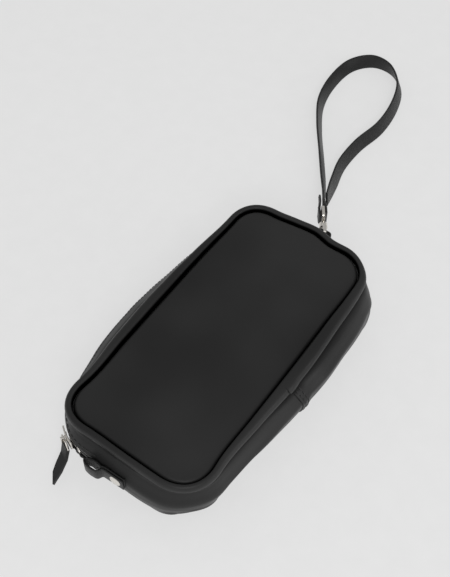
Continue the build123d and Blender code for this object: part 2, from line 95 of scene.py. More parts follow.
# The upper row starts after the four teeth inside the slider, and half a pitch on
UPPER_START = 4.5
ZIP_Z = TOOTH_LOW[2] - TOOTH_NEAR
SLOT_HALF = 5.5
TAPE = 0.6
TAPE_REACH = TAPE_HIGH[2] - ZIP_Z
CHAIN_OUT = 9.7
CHAIN_STRETCH = (SEAM_R + CHAIN_OUT) / SEAM_R
CHAIN_DEPTH = LEATHER + TAPE / 2 + 0.1
SLIDER_ANGLE = 62.0
SLIDER_LONG = 14.0


# ---------------------------------------------------------------- the seam loop
QUARTER = SEAM_R * math.pi / 2
LEGS = [0, INNER_X, QUARTER, 2 * INNER_Y, QUARTER, 2 * INNER_X, QUARTER, 2 * INNER_Y, QUARTER, INNER_X]
KNOTS = np.cumsum(LEGS)
LOOP = KNOTS[-1]
CORE_X = np.array([0, -1, -1, -1, -1, 1, 1, 1, 1, 0]) * INNER_X
CORE_Y = np.array([-1, -1, -1, 1, 1, 1, 1, -1, -1, -1]) * INNER_Y
TURNED = -90.0 - 90.0 * np.array([0, 0, 1, 1, 2, 2, 3, 3, 4, 4])

# Places round the bag where its soft shape is set, as distances along the seam loop:
# near end, near left corner (3), left side (3), far left corner (3), far end (3),
# far right corner (3), right side (3), near right corner (3)
STATIONS = np.array(
    [0, KNOTS[1], (KNOTS[1] + KNOTS[2]) / 2, KNOTS[2]]
    + [KNOTS[2] + INNER_Y + y for y in (-45, 0, 45)]
    + [KNOTS[3], (KNOTS[3] + KNOTS[4]) / 2, KNOTS[4]]
    + [KNOTS[4] + INNER_X + x for x in (-12, 4, 19)]
    + [KNOTS[5], (KNOTS[5] + KNOTS[6]) / 2, KNOTS[6]]
    + [KNOTS[6] + INNER_Y - y for y in (45, 0, -45)]
    + [KNOTS[7], (KNOTS[7] + KNOTS[8]) / 2, KNOTS[8]])
# How far the top seam stands outside its plain outline
SEAM_SHIFT = (2.3, 1.3, 2.5, -1.0, -0.9, -0.5, -0.3, -1.2, -0.9, -2.6, -0.6,
              0.4, -3.2, -3.0, -2.2, -0.7, -0.4, 0.0, 0.0, 0.3, 3.3, 3.1)
# The rolled rim's size
RIM = (0.52, 0.54, 0.52, 0.6, 0.9, 1.0, 0.76, 0.54, 0.58, 0.6, 0.6,
       0.6, 0.6, 0.55, 0.48, 0.7, 1.0, 1.12, 0.76, 0.52, 0.45, 0.48)
# How far the wall's widest part stands outside its plain bulge
BELLY = (0.0, -0.4, -2.0, 0.5, 8.5, 9.5, 4.5, -1.0, -3.0, -0.5, 0.5,
         1.0, 1.0, -1.5, -6.5, 0.3, 5.2, 4.4, 0.2, -3.5, -3.0, 0.0)
# How far the base seam stands inside its plain outline
INSET = (1.5, 3.0, 6.0, 7.0, 1.0, 0.0, 1.0, 2.0, 3.0, 2.0, 0.0,
         0.0, 0.0, -1.0, -3.0, -3.4, -1.5, 0.0, 6.0, 11.5, 9.5, 4.0)


def round_loop(t, u):
    """Points at distance t round the plain seam loop and u outside it, and the outward direction."""
    t = np.mod(t, LOOP)
    angle = np.radians(np.interp(t, KNOTS, TURNED))
    out = np.stack([np.cos(angle), np.sin(angle)], -1)
    core = np.stack([np.interp(t, KNOTS, CORE_X), np.interp(t, KNOTS, CORE_Y)], -1)
    return core + out * (SEAM_R + np.asarray(u))[..., None], out


def ring_value(t, values):
    """A value that passes smoothly round the bag through the amounts set at the stations."""
    n = len(STATIONS)
    v = np.asarray(values, float)
    t = np.mod(t, LOOP)
    i = np.clip(np.searchsorted(STATIONS, t, side="right") - 1, 0, n - 1)
    at = np.append(STATIONS, LOOP)
    h = at[i + 1] - at[i]
    s = (t - at[i]) / h
    before = at[i] - np.where(i > 0, at[i - 1], at[n - 1] - LOOP)
    after = np.where(i + 2 <= n, at[np.minimum(i + 2, n)], LOOP + at[1]) - at[i + 1]
    v0, v1, v2, v3 = v[i - 1], v[i], v[(i + 1) % n], v[(i + 2) % n]
    m1 = ((v1 - v0) / before * h + (v2 - v1) / h * before) / (h + before) * h
    m2 = ((v2 - v1) / h * after + (v3 - v2) / after * h) / (h + after) * h
    return ((2 * s ** 3 - 3 * s ** 2 + 1) * v1 + (s ** 3 - 2 * s ** 2 + s) * m1
            + (3 * s ** 2 - 2 * s ** 3) * v2 + (s ** 3 - s ** 2) * m2)


def smooth(low, high, value):
    """0 at low, 1 at high and an S-curve between; low may be the larger."""
    share = np.clip((value - low) / (high - low), 0, 1)
    return share * share * (3 - 2 * share)


def seam_line(t, u):
    """Points u outside the real, slightly uneven top seam, square to it."""
    here = round_loop(t, ring_value(t, SEAM_SHIFT))[0]
    ahead = round_loop(t + 0.5, ring_value(t + 0.5, SEAM_SHIFT))[0]
    behind = round_loop(t - 0.5, ring_value(t - 0.5, SEAM_SHIFT))[0]
    along = ahead - behind
    along /= np.linalg.norm(along, axis=-1, keepdims=True)
    square = np.stack([-along[..., 1], along[..., 0]], -1)
    return here + square * np.asarray(u)[..., None]


# ---------------------------------------------------------------- the leather's shape
# The gusset's outer face as (distance outside the seam, height), from inside the top seam,
# over the rolled rim, down the wall, under the base rim and up inside the base seam
GUSSET = np.array([
    (0.15, 44.6), (0.2, 48.0), (0.5, 51.2), (1.9, 53.4), (4.3, 53.9), (6.8, 52.9), (8.3, 50.4), (8.4, 48.0),
    (7.2, 46.2), (6.3, 45.2), (6.6, 44.0), (8.4, 42.2), (10.0, 39.4), (11.3, 35.6), (12.1, 32.6),
    (12.4, 30.2), (12.0, 27.0), (11.5, 22.0), (10.8, 16.5), (9.6, 11.8), (8.4, 8.6), (8.1, 6.4), (8.0, 4.2),
    (6.9, 2.0), (5.0, 0.9), (3.0, 1.0), (1.2, 2.4), (0.3, 4.8), (0.3, 7.0),
])


def curve_through(points, count):
    """A smooth line through points (Catmull-Rom), sampled evenly along its length."""
    p = np.asarray(points, float)
    p = np.vstack([2 * p[0] - p[1], p, 2 * p[-1] - p[-2]])
    fine = []
    for i in range(1, len(p) - 2):
        s = np.linspace(0, 1, 24, endpoint=False)[:, None]
        a, b, c, d = p[i - 1], p[i], p[i + 1], p[i + 2]
        fine.append(0.5 * (2 * b + (c - a) * s + (2 * a - 5 * b + 4 * c - d) * s ** 2
                           + (3 * b - a - 3 * c + d) * s ** 3))
    fine = np.vstack(fine + [p[-2][None]])
    along = np.concatenate([[0], np.cumsum(np.linalg.norm(np.diff(fine, axis=0), axis=1))])
    at = np.linspace(0, along[-1], count)
    return np.stack([np.interp(at, along, fine[:, k]) for k in range(p.shape[1])], -1)


def waves(points, scale, seed):
    """Soft repeatable noise at each point, about -1 to 1."""
    flat = points.reshape(-1, 3) * scale + seed
    return np.array([noise.noise(Vector(p)) for p in flat]).reshape(points.shape[:-1])


def base_inset(t):
    """How far the base seam stands inside its plain outline: the bag slumps over its base."""
    return ring_value(t, INSET)


def wrinkles(t, z):
    """Low diagonal folds where the wall slumps near the corners, and long soft ones beside them."""
    lift = np.zeros(np.broadcast(t, z).shape)
    for place, height, long, slant, depth in FOLDS:
        away = np.mod(t - place + LOOP / 2, LOOP) - LOOP / 2
        across = z - height - slant * away
        lift = lift + depth * np.exp(-(across / 2.4) ** 2) * np.exp(-(away / long) ** 2)
    return lift


def skin_point(t, u, z, lift=0.0):
    """The leather's outer surface: a section point (u, z) at distance t, slumped and bulged."""
    t, u, z = np.broadcast_arrays(np.asarray(t, float), u, z)
    belly = ring_value(t, BELLY) * np.cos(np.clip((z - BELLY_Z) / BELLY_HALF, -1, 1) * math.pi / 2) ** 1.2
    top = smooth(40.5, 45.5, z)
    size = ring_value(t, RIM)
    u_rim = u * (size + 0.1)
    z_rim = RIM_Z + (z - RIM_Z) * np.where(z > RIM_Z, np.clip(size, 0.3, 1.1) ** 0.35, 1.0)
    u = u - 8.0 * np.clip(1 - size, 0, 1) * smooth(24.0, 44.0, z)
    low = np.clip((LEAN_Z - z) / (LEAN_Z - 4.0), 0, 1) ** 1.4
    wall, out = round_loop(t, u + WALL_OUT * smooth(2.0, 12.0, z) + belly - base_inset(t) * low)
    place = seam_line(t, u_rim) * top[..., None] + wall * (1 - top[..., None])
    points = np.concatenate([place, (z_rim * top + z * (1 - top))[..., None]], -1)
    soft = waves(points, 0.021, 7.3) * 1.1 + waves(points, 0.055, 2.1) * 0.4
    calm = (1 - 0.8 * top - 0.6 * smooth(10.0, 4.0, z))
    shift = soft * calm + wrinkles(t, z) * calm + lift
    points[..., :2] += out * shift[..., None]
    return points


# The section as an even line, and its outside from the rim's crest down to its lowest point
SECTION = curve_through(GUSSET, 900)
CREST = int(np.argmax(SECTION[:, 1]))
LOWEST = len(SECTION) - 1 - int(np.argmin(SECTION[::-1, 1]))
OUTSIDE = SECTION[CREST:LOWEST]
SECTION_PITCH = 0.6


def section(z_from, z_to):
    """The part of the section between two heights down the outside. None is its own end."""
    first = 0 if z_from is None else CREST + int(np.argmin(np.abs(OUTSIDE[:, 1] - z_from)))
    last = len(SECTION) if z_to is None else CREST + int(np.argmin(np.abs(OUTSIDE[:, 1] - z_to))) + 1
    picked = SECTION[first:last]
    along = np.concatenate([[0], np.cumsum(np.linalg.norm(np.diff(picked, axis=0), axis=1))])
    at = np.append(np.arange(0, along[-1] - SECTION_PITCH / 2, SECTION_PITCH), along[-1])
    return np.interp(at, along, picked[:, 0]), np.interp(at, along, picked[:, 1])


def t_at(x=None, y=None, side="near"):
    """The distance round the loop of a place on one of its straight runs."""
    if side == "near":
        return -x % LOOP
    if side == "far":
        return KNOTS[4] + (x + INNER_X)
    if side == "left":
        return KNOTS[2] + (y + INNER_Y)
    return KNOTS[6] + (INNER_Y - y)


T_NEAR_ZIP = t_at(x=HINGE_X, side="near")
T_FAR_ZIP = t_at(x=HINGE_X, side="far")
T_LAP = t_at(y=LAP_Y, side="right")
# Folds: place round the loop, height, reach along the loop, slant and depth
FOLDS = (
    (T_LAP - 34, 33.0, 42.0, 0.03, 0.9),
    (T_LAP + 40, 31.0, 36.0, -0.05, 0.9),
    (KNOTS[7] + 6, 14.0, 13.0, 0.55, 1.1),
    (KNOTS[7] + 18, 12.0, 11.0, 0.6, -0.9),
    (KNOTS[8] - 6, 15.0, 12.0, -0.4, 0.9),
    (KNOTS[8] + 14, 33.0, 34.0, 0.0, 0.9),
    (KNOTS[6] - 10, 24.0, 14.0, 0.5, 1.0),
    (KNOTS[6] + 8, 12.0, 12.0, -0.5, -0.8),
    (t_at(y=20, side="left"), 36.0, 60.0, 0.02, 0.8),
    (t_at(x=12, side="far"), 30.0, 22.0, 0.2, 0.8),
)


def lap_line(z):
    """The lap seam slants: it starts nearer the near end at the rim and ends towards the middle."""
    y = np.interp(z, (5.0, 15.0, 30.0, 44.0, 50.0), (6.5, 3.5, 1.0, -1.5, -6.5)) - LAP_WIDE / 2
    return KNOTS[6] + (INNER_Y - y)


# ---------------------------------------------------------------- mesh helpers
WELD_PER_MM = 200
EDGE_ROUND = 0.32


def new_object(name, vertices, faces, materials, face_slots=None):
    """A mesh from points in mm, with its rest place kept for the materials to read."""
    mesh = bpy.data.meshes.new(name)
    points = np.asarray(vertices, float) * MM
    mesh.from_pydata(points.tolist(), [], [list(map(int, f)) for f in faces])
    for material in materials:
        mesh.materials.append(material)
    if face_slots is not None:
        mesh.polygons.foreach_set("material_index", np.asarray(face_slots, np.int32))
    mesh.polygons.foreach_set("use_smooth", np.full(len(mesh.polygons), True))
    rest = mesh.attributes.new("rest", "FLOAT_VECTOR", "POINT")
    rest.data.foreach_set("vector", points.ravel())
    mesh.validate()
    mesh.update()
    obj = bpy.data.objects.new(name, mesh)
    bpy.context.scene.collection.objects.link(obj)
    return obj


def weld(points):
    """One number for each different point, so that faces which meet share their corners."""
    keys = np.round(points * WELD_PER_MM).astype(np.int64)
    _, first, number = np.unique(keys, axis=0, return_index=True, return_inverse=True)
    return points[first], number.reshape(-1)


def grid_faces(rows, cols, closed):
    """The four-cornered faces of a grid of points, whose last row may join its first."""
    index = np.arange(rows * cols).reshape(rows, cols)
    if closed:
        index = np.vstack([index, index[:1]])
    return np.stack([index[:-1, :-1], index[1:, :-1], index[1:, 1:], index[:-1, 1:]], -1).reshape(-1, 4)


def point_normals(points, faces):
    """The direction each point faces, from the area and tilt of the faces round it."""
    a, b, c, d = (points[faces[:, k]] for k in range(4))
    facing = np.cross(c - a, d - b)
    normal = np.zeros_like(points)
    for k in range(4):
        np.add.at(normal, faces[:, k], facing)
    return normal / np.maximum(np.linalg.norm(normal, axis=1, keepdims=True), 1e-9)


def sheet_mesh(name, outer, thickness, materials, flip=False, closed=False, painted_shade=None):
    """A leather sheet: its outer points, a parallel inner face and rounded cut edges.

    The last argument gives each point's painted shade: how far it lies down in a seam, where colour and
    shine are darkened to stand for the shade that falls there.
    """
    rows, cols = outer.shape[:2]
    faces = grid_faces(rows, cols, closed)
    points, number = weld(outer.reshape(-1, 3))
    faces = number[faces]
    if flip:
        faces = faces[:, ::-1]
    normal = point_normals(points, faces)
    inner = points - normal * thickness
    edges = dict.fromkeys((int(a), int(b)) for f in faces for a, b in zip(f, np.roll(f, -1)) if a != b)
    border = [e for e in edges if (e[1], e[0]) not in edges]
    size = len(points)
    push = np.zeros_like(points)
    for a, b in border:
        along = points[b] - points[a]
        side = np.cross(along, normal[a] + normal[b])
        side /= max(np.linalg.norm(side), 1e-9)
        push[a] += side
        push[b] += side
    middle = {}
    extra = []
    for a, b in border:
        for v in (a, b):
            if v not in middle:
                middle[v] = 2 * size + len(extra)
                side = push[v] / max(np.linalg.norm(push[v]), 1e-9)
                extra.append((points[v] + inner[v]) / 2 + side * thickness * EDGE_ROUND)
    all_faces = []
    slots = []
    for f in faces:
        ring = list(dict.fromkeys(int(v) for v in f))
        if len(ring) > 2:
            all_faces.append(ring)
            slots.append(0)
            all_faces.append([v + size for v in ring[::-1]])
            slots.append(1)
    for a, b in border:
        all_faces.append([b, a, middle[a], middle[b]])
        all_faces.append([middle[b], middle[a], a + size, b + size])
        slots += [0, 0]
    vertices = np.vstack([points, inner, np.array(extra)])
    obj = new_object(name, vertices, all_faces, materials, slots)
    rim = {frozenset((int(a), int(b))) for a, b in border}
    sharp = [frozenset(edge.vertices) in rim for edge in obj.data.edges]
    obj.data.attributes.new("sharp_edge", "BOOLEAN", "EDGE").data.foreach_set("value", sharp)
    # Painted shade: each point's value darkens the leather's colour and shine to stand for the shade in the
    # seams.
    if painted_shade is not None:
        depth = np.zeros(len(vertices))
        depth[number] = np.broadcast_to(painted_shade, (rows, cols)).ravel()
        obj.data.attributes.new("painted_shade", "FLOAT", "POINT").data.foreach_set("value", depth)
    return obj


def sweep(name, centres, outline, wide, thick, materials, slots):
    """Carry a closed outline along a path: its points are (along wide, along thick) pairs in mm."""
    n = len(outline)
    rings = (centres[:, None] + wide[:, None] * outline[None, :, :1]
             + thick[:, None] * outline[None, :, 1:])
    count = len(centres)
    faces = []
    face_slots = []
    for i in range(count - 1):
        a = i * n
        b = (i + 1) * n
        for k in range(n):
            faces.append((a + k, a + (k + 1) % n, b + (k + 1) % n, b + k))
            face_slots.append(slots[k])
    faces.append(tuple(range(n))[::-1])
    faces.append(tuple((count - 1) * n + k for k in range(n)))
    face_slots += [0, 0]
    return new_object(name, rings.reshape(-1, 3), faces, materials, face_slots)


def strip_outline(width, thickness):
    """A flat band's cross-section with rounded edges, and the face slots: 0 grain, 1 flesh."""
    w = width / 2
    r = thickness / 2
    corners = []
    for sx, turn in ((1, 0), (-1, 90), (-1, 180), (1, 270)):
        a = np.radians(np.array([0, 30, 60, 90]) + turn)
        corners.append(np.stack([sx * (w - r) + r * np.cos(a), r * np.sin(a)], -1))
    outline = np.vstack(corners)
    middle = (outline[:, 1] + np.roll(outline[:, 1], -1, axis=0)) / 2
    return outline, [1 if m < -r * 0.98 else 0 for m in middle]


def ribbon(name, path, up, width, thickness, materials, outer=1.0):
    """A flat strip along a path, standing with its width along up."""
    tangent = np.gradient(path, axis=0)
    tangent /= np.linalg.norm(tangent, axis=1, keepdims=True)
    up = np.broadcast_to(up, path.shape)
    wide = up - tangent * np.sum(up * tangent, 1, keepdims=True)
    wide /= np.linalg.norm(wide, axis=1, keepdims=True)
    thick = np.cross(wide, tangent) * outer
    outline, slots = strip_outline(width, thickness)
    return sweep(name, path, outline, wide, thick, materials, slots)


def bevelled(size, bevel):
    """Vertices and faces of a small block with rounded edges, in mm about its centre."""
    bm = bmesh.new()
    bmesh.ops.create_cube(bm, size=1.0)
    for v in bm.verts:
        v.co = Vector((v.co.x * size[0], v.co.y * size[1], v.co.z * size[2]))
    bmesh.ops.bevel(bm, geom=bm.edges[:], offset=bevel, segments=2, affect="EDGES", profile=0.5)
    bm.verts.index_update()
    points = np.array([v.co[:] for v in bm.verts])
    faces = [[v.index for v in f.verts] for f in bm.faces]
    bm.free()
    return points, faces


def scatter(name, template, places, materials):
    """Many copies of one small block. A place is a centre and its x, y and z directions."""
    points, faces = template
    vertices = []
    all_faces = []
    for index, (centre, x, y, z) in enumerate(places):
        vertices.append(centre + points @ np.stack([x, y, z]))
        all_faces += [[k + index * len(points) for k in f] for f in faces]
    return new_object(name, np.vstack(vertices), all_faces, materials)


def softened(node, material, width):
    """A CAD part with its sharp edges rounded: a new piece that stands for the node."""
    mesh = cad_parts[node].data.copy()
    obj = bpy.data.objects.new(node + "_finished", mesh)
    bpy.context.scene.collection.objects.link(obj)
    bm = bmesh.new()
    bm.from_mesh(mesh)
    bmesh.ops.remove_doubles(bm, verts=bm.verts, dist=2e-6)
    bmesh.ops.dissolve_limit(bm, angle_limit=math.radians(1.0), verts=bm.verts, edges=bm.edges)
    bm.to_mesh(mesh)
    bm.free()
    mesh.materials.clear()
    mesh.materials.append(material)
    bevel = obj.modifiers.new("rounded", "BEVEL")
    bevel.width = width * MM
    bevel.segments = 2
    bevel.limit_method = "ANGLE"
    bevel.angle_limit = math.radians(35)
    applied = bpy.data.meshes.new_from_object(obj.evaluated_get(bpy.context.evaluated_depsgraph_get()))
    obj.modifiers.clear()
    obj.data = applied
    applied.polygons.foreach_set("use_smooth", np.ones(len(applied.polygons), bool))
    applied.set_sharp_from_angle(angle=math.radians(50))
    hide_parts(node)
    return obj


# ---------------------------------------------------------------- materials
# Texture scales of the leather, in features per metre
CLOUDS = 14.0
SHINE_PATCHES = 18.0
SOFT_CREASES = 26.0
PEBBLES = 1100.0
PORES = 2600.0
SPECULAR = 0.2


def node_tree(name):
    """A new material, its nodes, its links and its shader."""
    material = bpy.data.materials.new(name)
    material.use_nodes = True
    nodes = material.node_tree.nodes
    return material, nodes, material.node_tree.links, nodes["Principled BSDF"]


def rest_place(nodes, rest=True):
    """The coordinate that textures follow: the rest place of a built piece, or a CAD part's own."""
    if rest:
        source = nodes.new("ShaderNodeAttribute")
        source.attribute_name = "rest"
        return source.outputs["Vector"]
    return nodes.new("ShaderNodeTexCoord").outputs["Object"]


def noise_node(nodes, links, place, scale, detail=3.0, roughness=0.55):
    """A noise texture's value at a place."""
    texture = nodes.new("ShaderNodeTexNoise")
    texture.inputs["Scale"].default_value = scale
    texture.inputs["Detail"].default_value = detail
    texture.inputs["Roughness"].default_value = roughness
    links.new(place, texture.inputs["Vector"])
    return texture.outputs["Fac"]


def ramp(nodes, links, value, stops):
    """A value turned into a colour that blends between (position, colour) stops."""
    node = nodes.new("ShaderNodeValToRGB")
    while len(node.color_ramp.elements) < len(stops):
        node.color_ramp.elements.new(0.5)
    for element, (at, colour) in zip(node.color_ramp.elements, stops):
        element.position = at
        element.color = (*colour, 1)
    links.new(value, node.inputs["Fac"])
    return node.outputs["Color"]


def grey(level):
    """A colour without a hue."""
    return (level, level, level)


def maths(nodes, links, kind, a, b):
    """A sum, product or the like of two numbers or sockets."""
    node = nodes.new("ShaderNodeMath")
    node.operation = kind
    for socket, value in zip(node.inputs, (a, b)):
        if isinstance(value, (int, float)):
            socket.default_value = value
        else:
            links.new(value, socket)
    return node.outputs[0]


def bump_chain(nodes, links, shader, layers):
    """Stack height layers as (height, distance in metres, strength)."""
    normal = None
    for height, distance, strength in layers:
        node = nodes.new("ShaderNodeBump")
        node.inputs["Distance"].default_value = distance
        node.inputs["Strength"].default_value = strength
        links.new(height, node.inputs["Height"])
        if normal is not None:
            links.new(normal, node.inputs["Normal"])
        normal = node.outputs["Normal"]
    links.new(normal, shader.inputs["Normal"])


def leather_material(name, dark, light, rough_low, rough_high, grain=1.0):
    """Black waxed leather: fine grain, cloudy mottling and uneven shine, with painted shade that darkens and
    dulls it in seams and creases.
    """
    material, nodes, links, shader = node_tree(name)
    place = rest_place(nodes)
    mottle = noise_node(nodes, links, place, CLOUDS, 1.5, 0.45)
    colour = ramp(nodes, links, mottle, [(0.35, dark), (0.68, light)])
    # Painted shade: a per-point value from the mesh darkens the colour in seams and creases.
    painted_shade = nodes.new("ShaderNodeAttribute")
    painted_shade.attribute_name = "painted_shade"
    unshaded_share = maths(nodes, links, "SUBTRACT", 1.0, painted_shade.outputs["Fac"])
    shaded_colour = nodes.new("ShaderNodeVectorMath")
    shaded_colour.operation = "SCALE"
    links.new(colour, shaded_colour.inputs[0])
    links.new(unshaded_share, shaded_colour.inputs["Scale"])
    links.new(shaded_colour.outputs["Vector"], shader.inputs["Base Color"])
    blotch = noise_node(nodes, links, place, SHINE_PATCHES, 1.5, 0.45)
    rough = ramp(nodes, links, blotch, [(0.3, grey(rough_low)), (0.72, grey(rough_high))])
    links.new(rough, shader.inputs["Roughness"])
    cells = nodes.new("ShaderNodeTexVoronoi")
    cells.feature = "SMOOTH_F1"
    cells.inputs["Scale"].default_value = PEBBLES
    cells.inputs["Smoothness"].default_value = 0.6
    links.new(place, cells.inputs["Vector"])
    creases = noise_node(nodes, links, place, SOFT_CREASES, 1.0, 0.5)
    pores = noise_node(nodes, links, place, PORES, 2.0)
    bump_chain(nodes, links, shader, [
        (creases, 0.004, 0.6),
        (cells.outputs["Distance"], 0.0001 * grain, 0.25),
        (pores, 0.00003 * grain, 0.25),
    ])
    # The painted shade also cuts the specular in the seams, standing for their blocked reflections.
    shaded_specular = maths(nodes, links, "MULTIPLY", unshaded_share, SPECULAR)
    links.new(shaded_specular, shader.inputs["Specular IOR Level"])
    return material


def flesh_material(name, dark, light):
    """The leather's rough inside: nap and fine fibres."""
    material, nodes, links, shader = node_tree(name)
    place = rest_place(nodes)
    colour = ramp(nodes, links, noise_node(nodes, links, place, 420.0, 4.0), [(0.3, dark), (0.72, light)])
    links.new(colour, shader.inputs["Base Color"])
    shader.inputs["Roughness"].default_value = 0.92
    shader.inputs["Sheen Weight"].default_value = 0.25
    shader.inputs["Sheen Roughness"].default_value = 0.5
    nap = noise_node(nodes, links, place, 1800.0, 4.0, 0.7)
    bump_chain(nodes, links, shader, [(nap, 0.0003, 0.8)])
    return material


def woven_material(name, dark, light, pitch):
    """Woven tape: crossed threads as wave patterns along the three axes."""
    material, nodes, links, shader = node_tree(name)
    place = rest_place(nodes)
    heights = []
    for direction in ("X", "Y", "Z"):
        wave = nodes.new("ShaderNodeTexWave")
        wave.bands_direction = direction
        wave.inputs["Scale"].default_value = 1 / pitch
        wave.inputs["Distortion"].default_value = 0.4
        wave.inputs["Detail"].default_value = 1.0
        links.new(place, wave.inputs["Vector"])
        heights.append(wave.outputs["Fac"])
    cloth = maths(nodes, links, "MULTIPLY", maths(nodes, links, "ADD", heights[0], heights[1]), heights[2])
    colour = ramp(nodes, links, cloth, [(0.1, dark), (0.9, light)])
    links.new(colour, shader.inputs["Base Color"])
    shader.inputs["Roughness"].default_value = 0.8
    shader.inputs["Sheen Weight"].default_value = 0.3
    bump_chain(nodes, links, shader, [(cloth, 0.00018, 0.7)])
    return material


def metal_material(name, colour, rough_low, rough_high, rest=True):
    """Plated metal: bright, with soft smears and fine scratches in its polish."""
    material, nodes, links, shader = node_tree(name)
    place = rest_place(nodes, rest)
    smear = noise_node(nodes, links, place, 240.0, 4.0)
    rough = ramp(nodes, links, smear, [(0.3, grey(rough_low)), (0.7, grey(rough_high))])
    links.new(rough, shader.inputs["Roughness"])
    tone = noise_node(nodes, links, place, 90.0, 2.0)
    shade = ramp(nodes, links, tone, [(0.3, tuple(c * 0.9 for c in colour)), (0.7, colour)])
    links.new(shade, shader.inputs["Base Color"])
    shader.inputs["Metallic"].default_value = 1.0
    fine = noise_node(nodes, links, place, 3200.0, 3.0)
    bump_chain(nodes, links, shader, [(fine, 0.00002, 0.35)])
    return material


def thread_material(name, colour):
    """Bonded thread: a fine twist along each stitch."""
    material, nodes, links, shader = node_tree(name)
    place = rest_place(nodes)
    twist = nodes.new("ShaderNodeTexWave")
    twist.bands_direction = "DIAGONAL"
    twist.inputs["Scale"].default_value = 1500.0
    links.new(place, twist.inputs["Vector"])
    shade = ramp(nodes, links, twist.outputs["Fac"], [(0.2, tuple(c * 0.5 for c in colour)), (0.8, colour)])
    links.new(shade, shader.inputs["Base Color"])
    shader.inputs["Roughness"].default_value = 0.55
    bump_chain(nodes, links, shader, [(twist.outputs["Fac"], 0.0001, 0.6)])
    return material


GRAIN = leather_material("black_leather", grey(0.021), grey(0.034), 0.32, 0.5)
FLESH = flesh_material("leather_inside", grey(0.012), grey(0.03))
STRAP_GRAIN = leather_material("strap_leather", grey(0.026), grey(0.04), 0.36, 0.5, 0.5)
STRAP_FLESH = flesh_material("strap_back", grey(0.006), grey(0.016))
WOVEN = woven_material("zip_tape_weave", grey(0.008), grey(0.022), 0.0016)
BINDING = woven_material("binding_weave", grey(0.012), grey(0.03), 0.0022)
THREAD = thread_material("black_thread", grey(0.04))
NICKEL = metal_material("nickel", (0.84, 0.81, 0.76), 0.14, 0.28)
NICKEL_CAD = metal_material("nickel_parts", (0.84, 0.81, 0.76), 0.14, 0.28, rest=False)
TEETH = metal_material("zip_teeth_metal", (0.62, 0.6, 0.57), 0.2, 0.36)


# ---------------------------------------------------------------- leather pieces
def steps(t_from, t_to, pitch):
    """Distances round the loop, about a pitch apart."""
    return np.linspace(t_from, t_to, max(2, int(abs(t_to - t_from) / pitch) + 1))


def gusset_piece(name, t_from, t_to, z_from, z_to, over=0.0):
    """A length of gusset. over says which end laps: 1 its last end on top, -1 its first end beneath."""
    t = steps(t_from, t_to, 1.5)
    u, z = section(z_from, z_to)
    t_grid = np.broadcast_to(t[:, None], (len(t), len(u))).copy()
    lift = np.zeros_like(t_grid)
    if over:
        edge = lap_line(z)[None, :] + (LAP_WIDE / 2 if over > 0 else -LAP_WIDE / 2)
        near_edge = smooth(40.0, 0.0, np.abs(t_grid - (t[-1] if over > 0 else t[0])))
        t_grid += (edge - T_LAP) * near_edge
        away = np.abs(t_grid - edge)
        free = smooth(0.6, 3.5, u)[None, :]
        lift = (LAP_LIFT if over > 0 else -LAP_SINK) * smooth(12.0, 4.0, away) * free
    points = skin_point(t_grid, u[None, :], z[None, :], lift)
    # Painted shade: darkest in the top seam's groove, with a soft dark band along the crease under the
    # rolled rim.
    groove_shade = smooth(1.8, 0.5, u) * (z > 40)
    rim_crease_shade = 0.75 * np.exp(-((z - 45.0) / 2.2) ** 2) * (u > 4)
    return sheet_mesh(name, points, SHEET, [GRAIN, FLESH], painted_shade=np.maximum(groove_shade, rim_crease_shade)[None, :])


# The top panel's height and the roll at its edge; the base panel's height and turned-up edge
PANEL_Z = 51.0
ROLL_WIDE = 3.6
ROLL_DEEP = 5.6
BASE_Z = 0.05
TURN_UP = 5.2
TURN_WIDE = 5.5
# A panel's mesh: points round it, rings inside its edge rings, how far its middle line stops
# short of the corners' centres, and the distance in that counts as its middle
ROUND_STEPS = 380
INNER_RINGS = 22
SPINE_SHORT = 26
HALF_WIDE = 50


def panel_height(x, y, inset):
    """The top panel: a soft dome that rolls down into its seam and ripples a little."""
    roll = np.clip(1 - inset / ROLL_WIDE, 0, 1)
    edge = ROLL_DEEP * (1 - np.sqrt(np.clip(1 - roll ** 2, 0, 1)))
    dome = 1.5 * np.clip(1 - (x / 56.0) ** 4, 0, 1) * np.clip(1 - (y / 114.0) ** 6, 0, 1)
    sag = 1.2 * smooth(13.0, 0.0, inset) * smooth(15.0, 53.0, x)
    points = np.stack([x, y, np.zeros_like(x)], -1)
    short = 0.6 + 0.9 * smooth(10.0, -85.0, y)
    ripple = waves(points, 0.018, 3.7) * 1.5 + waves(points, 0.036, 9.1) * short
    return PANEL_Z - edge - sag + dome + ripple * smooth(2.0, 12.0, inset)


def panel_grid(t, insets, rim_line):
    """Rings of points from a seam loop in to the panel's middle line."""
    rings = [rim_line(t, -inset) for inset in insets]
    middle = round_loop(t, np.zeros(len(t)))[0][:, 1]
    reach = INNER_Y - SPINE_SHORT
    spine = np.stack([np.zeros(len(t)), np.clip(middle, -reach, reach)], -1)
    last = rings[-1]
    for share in np.linspace(0, 1, INNER_RINGS)[1:]:
        rings.append(last * (1 - share) + spine * share)
    return np.stack(rings, 1)


def panel_piece(name, insets, rim_line, height, thickness, flip):
    """A whole panel from its edge line, its edge rings and its height at (x, y, distance in)."""
    t = np.linspace(0, LOOP, ROUND_STEPS, endpoint=False)
    plan = panel_grid(t, insets, rim_line)
    inside = np.linspace(insets[-1], HALF_WIDE, INNER_RINGS)[1:]
    depth = np.broadcast_to(np.concatenate([insets, inside]), plan.shape[:2])
    points = np.concatenate([plan, height(plan[..., 0], plan[..., 1], depth)[..., None]], -1)
    # Painted shade darkens the panel's edge where it rolls down into its seam.
    return sheet_mesh(name, points, thickness, [GRAIN, FLESH], closed=True, flip=flip,
                      painted_shade=smooth(GROOVE_SHADE_WIDE, 0.4, depth))


